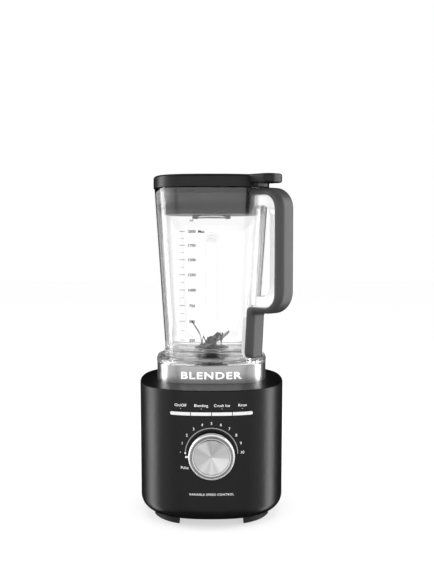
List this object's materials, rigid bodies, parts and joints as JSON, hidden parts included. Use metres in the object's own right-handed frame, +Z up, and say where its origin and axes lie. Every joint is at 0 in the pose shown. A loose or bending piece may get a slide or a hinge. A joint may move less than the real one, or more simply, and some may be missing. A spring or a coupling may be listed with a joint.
{
  "type": "countertop blender",
  "caption": "Countertop blender: black base with keys and a dial, clear rounded-square jar with a diagonal handle, lift-off lid and measuring cap.",
  "frame": {"origin": "on the surface that the blender stands on, under the middle of the whole object", "axes": "+Z up, -Y towards the front with the keys and the dial, +X to the right seen from the front"},
  "size_m": [0.1861, 0.2241, 0.417],
  "materials": {
    "armature": "laminated",
    "base_bottom": "matte",
    "base_housing": "satin",
    "blade_bearing": "sintered",
    "blade_housing": "moulded",
    "blade_lower": "stamped",
    "blade_nut": "moulded",
    "blade_seal": "silicone",
    "blade_spacer": "turned",
    "blade_spindle": "ground",
    "blade_top_nut": "turned",
    "blade_upper": "stamped",
    "board_screws": "zinc plated",
    "brush_holders": "plain",
    "carbon_brushes": "carbon",
    "collar_band": "satin",
    "commutator": "copper bars",
    "control_board": "solder mask",
    "cooling_fan": "moulded",
    "cord_gland": "matte",
    "dial_cap": "spun",
    "dial_knob": "satin",
    "dial_pointer": "white",
    "dial_ring": "turned",
    "dial_shaft": "plain",
    "drive_coupler": "moulded",
    "field_coils": "enamelled copper",
    "filler_cap": "clear plastic",
    "handle_grip": "soft satin",
    "housing_screws": "zinc plated",
    "jar_body": "clear plastic",
    "jar_coupler": "hard rubber",
    "jar_handle": "clear plastic",
    "jar_seat": "matte",
    "key_blend": "satin",
    "key_crush": "satin",
    "key_frame": "matte",
    "key_power": "satin",
    "key_rinse": "satin",
    "key_switches": "moulded",
    "lid_cover": "satin",
    "lid_gasket": "silicone",
    "lid_neck": "satin",
    "lid_plug": "satin",
    "motor_bearings": "sintered",
    "motor_bracket_lower": "die cast",
    "motor_bracket_upper": "die cast",
    "motor_mounts": "matte",
    "motor_screws": "zinc plated",
    "motor_shaft": "ground",
    "motor_stator": "lacquered laminations",
    "rubber_feet": "matte",
    "seat_pad": "matte",
    "speed_control": "moulded",
    "terminal_block": "moulded"
  },
  "bodies": {
    "base": {"base_bottom": "base_bottom", "base_housing": "base_housing", "board_screws": "board_screws", "brush_holders": "brush_holders", "carbon_brushes": "carbon_brushes", "collar_band": "collar_band", "control_board": "control_board", "cord_gland": "cord_gland", "field_coils": "field_coils", "housing_screws": "housing_screws", "jar_seat": "jar_seat", "key_frame": "key_frame", "key_switches": "key_switches", "motor_bearings": "motor_bearings", "motor_bracket_lower": "motor_bracket_lower", "motor_bracket_upper": "motor_bracket_upper", "motor_mounts": "motor_mounts", "motor_screws": "motor_screws", "motor_stator": "motor_stator", "rubber_feet": "rubber_feet", "seat_pad": "seat_pad", "speed_control": "speed_control", "terminal_block": "terminal_block"},
    "rotor": {"motor_shaft": "motor_shaft", "armature": "armature", "commutator": "commutator", "cooling_fan": "cooling_fan", "drive_coupler": "drive_coupler"},
    "dial": {"dial_knob": "dial_knob", "dial_ring": "dial_ring", "dial_cap": "dial_cap", "dial_shaft": "dial_shaft", "dial_pointer": "dial_pointer"},
    "power_key": {"key_power": "key_power"},
    "blend_key": {"key_blend": "key_blend"},
    "crush_key": {"key_crush": "key_crush"},
    "rinse_key": {"key_rinse": "key_rinse"},
    "jar": {"jar_body": "jar_body", "jar_handle": "jar_handle", "handle_grip": "handle_grip", "blade_seal": "blade_seal", "blade_housing": "blade_housing", "blade_bearing": "blade_bearing", "blade_nut": "blade_nut"},
    "blades": {"blade_spindle": "blade_spindle", "jar_coupler": "jar_coupler", "blade_spacer": "blade_spacer", "blade_lower": "blade_lower", "blade_upper": "blade_upper", "blade_top_nut": "blade_top_nut"},
    "lid": {"lid_cover": "lid_cover", "lid_plug": "lid_plug", "lid_neck": "lid_neck", "lid_gasket": "lid_gasket"},
    "cap": {"filler_cap": "filler_cap"}
  },
  "joints": [
    {"name": "jar_lift", "type": "slide", "parent": "base", "child": "jar", "axis": [0, 0, 1], "range_m": [0, 0.06]},
    {"name": "lid_lift", "type": "slide", "parent": "jar", "child": "lid", "axis": [0, 0, 1], "range_m": [0, 0.07]},
    {"name": "cap_lift", "type": "slide", "parent": "lid", "child": "cap", "axis": [0, 0, 1], "range_m": [0, 0.06]},
    {"name": "rotor_spin", "type": "hinge", "parent": "base", "child": "rotor", "pos_m": [-0.0036, 0.0245, 0.1], "axis": [0, 0, 1], "continuous": true},
    {"name": "blade_spin", "type": "hinge", "parent": "jar", "child": "blades", "pos_m": [-0.0036, 0.0245, 0.2], "axis": [0, 0, 1], "continuous": true},
    {"name": "dial_turn", "type": "hinge", "parent": "base", "child": "dial", "pos_m": [-0.0036, -0.1, 0.0886], "axis": [0, 1, 0], "range_deg": [-25, 177.5]},
    {"name": "power_press", "type": "slide", "parent": "base", "child": "power_key", "axis": [0, 1, 0], "range_m": [0, 0.001], "stiffness_N_per_m": 900, "springref_m": -0.0004},
    {"name": "blend_press", "type": "slide", "parent": "base", "child": "blend_key", "axis": [0, 1, 0], "range_m": [0, 0.001], "stiffness_N_per_m": 900, "springref_m": -0.0004},
    {"name": "crush_press", "type": "slide", "parent": "base", "child": "crush_key", "axis": [0, 1, 0], "range_m": [0, 0.001], "stiffness_N_per_m": 900, "springref_m": -0.0004},
    {"name": "rinse_press", "type": "slide", "parent": "base", "child": "rinse_key", "axis": [0, 1, 0], "range_m": [0, 0.001], "stiffness_N_per_m": 900, "springref_m": -0.0004}
  ],
  "couplings": [
    {"joint": "blade_spin", "follows": "rotor_spin", "ratio": 1}
  ]
}
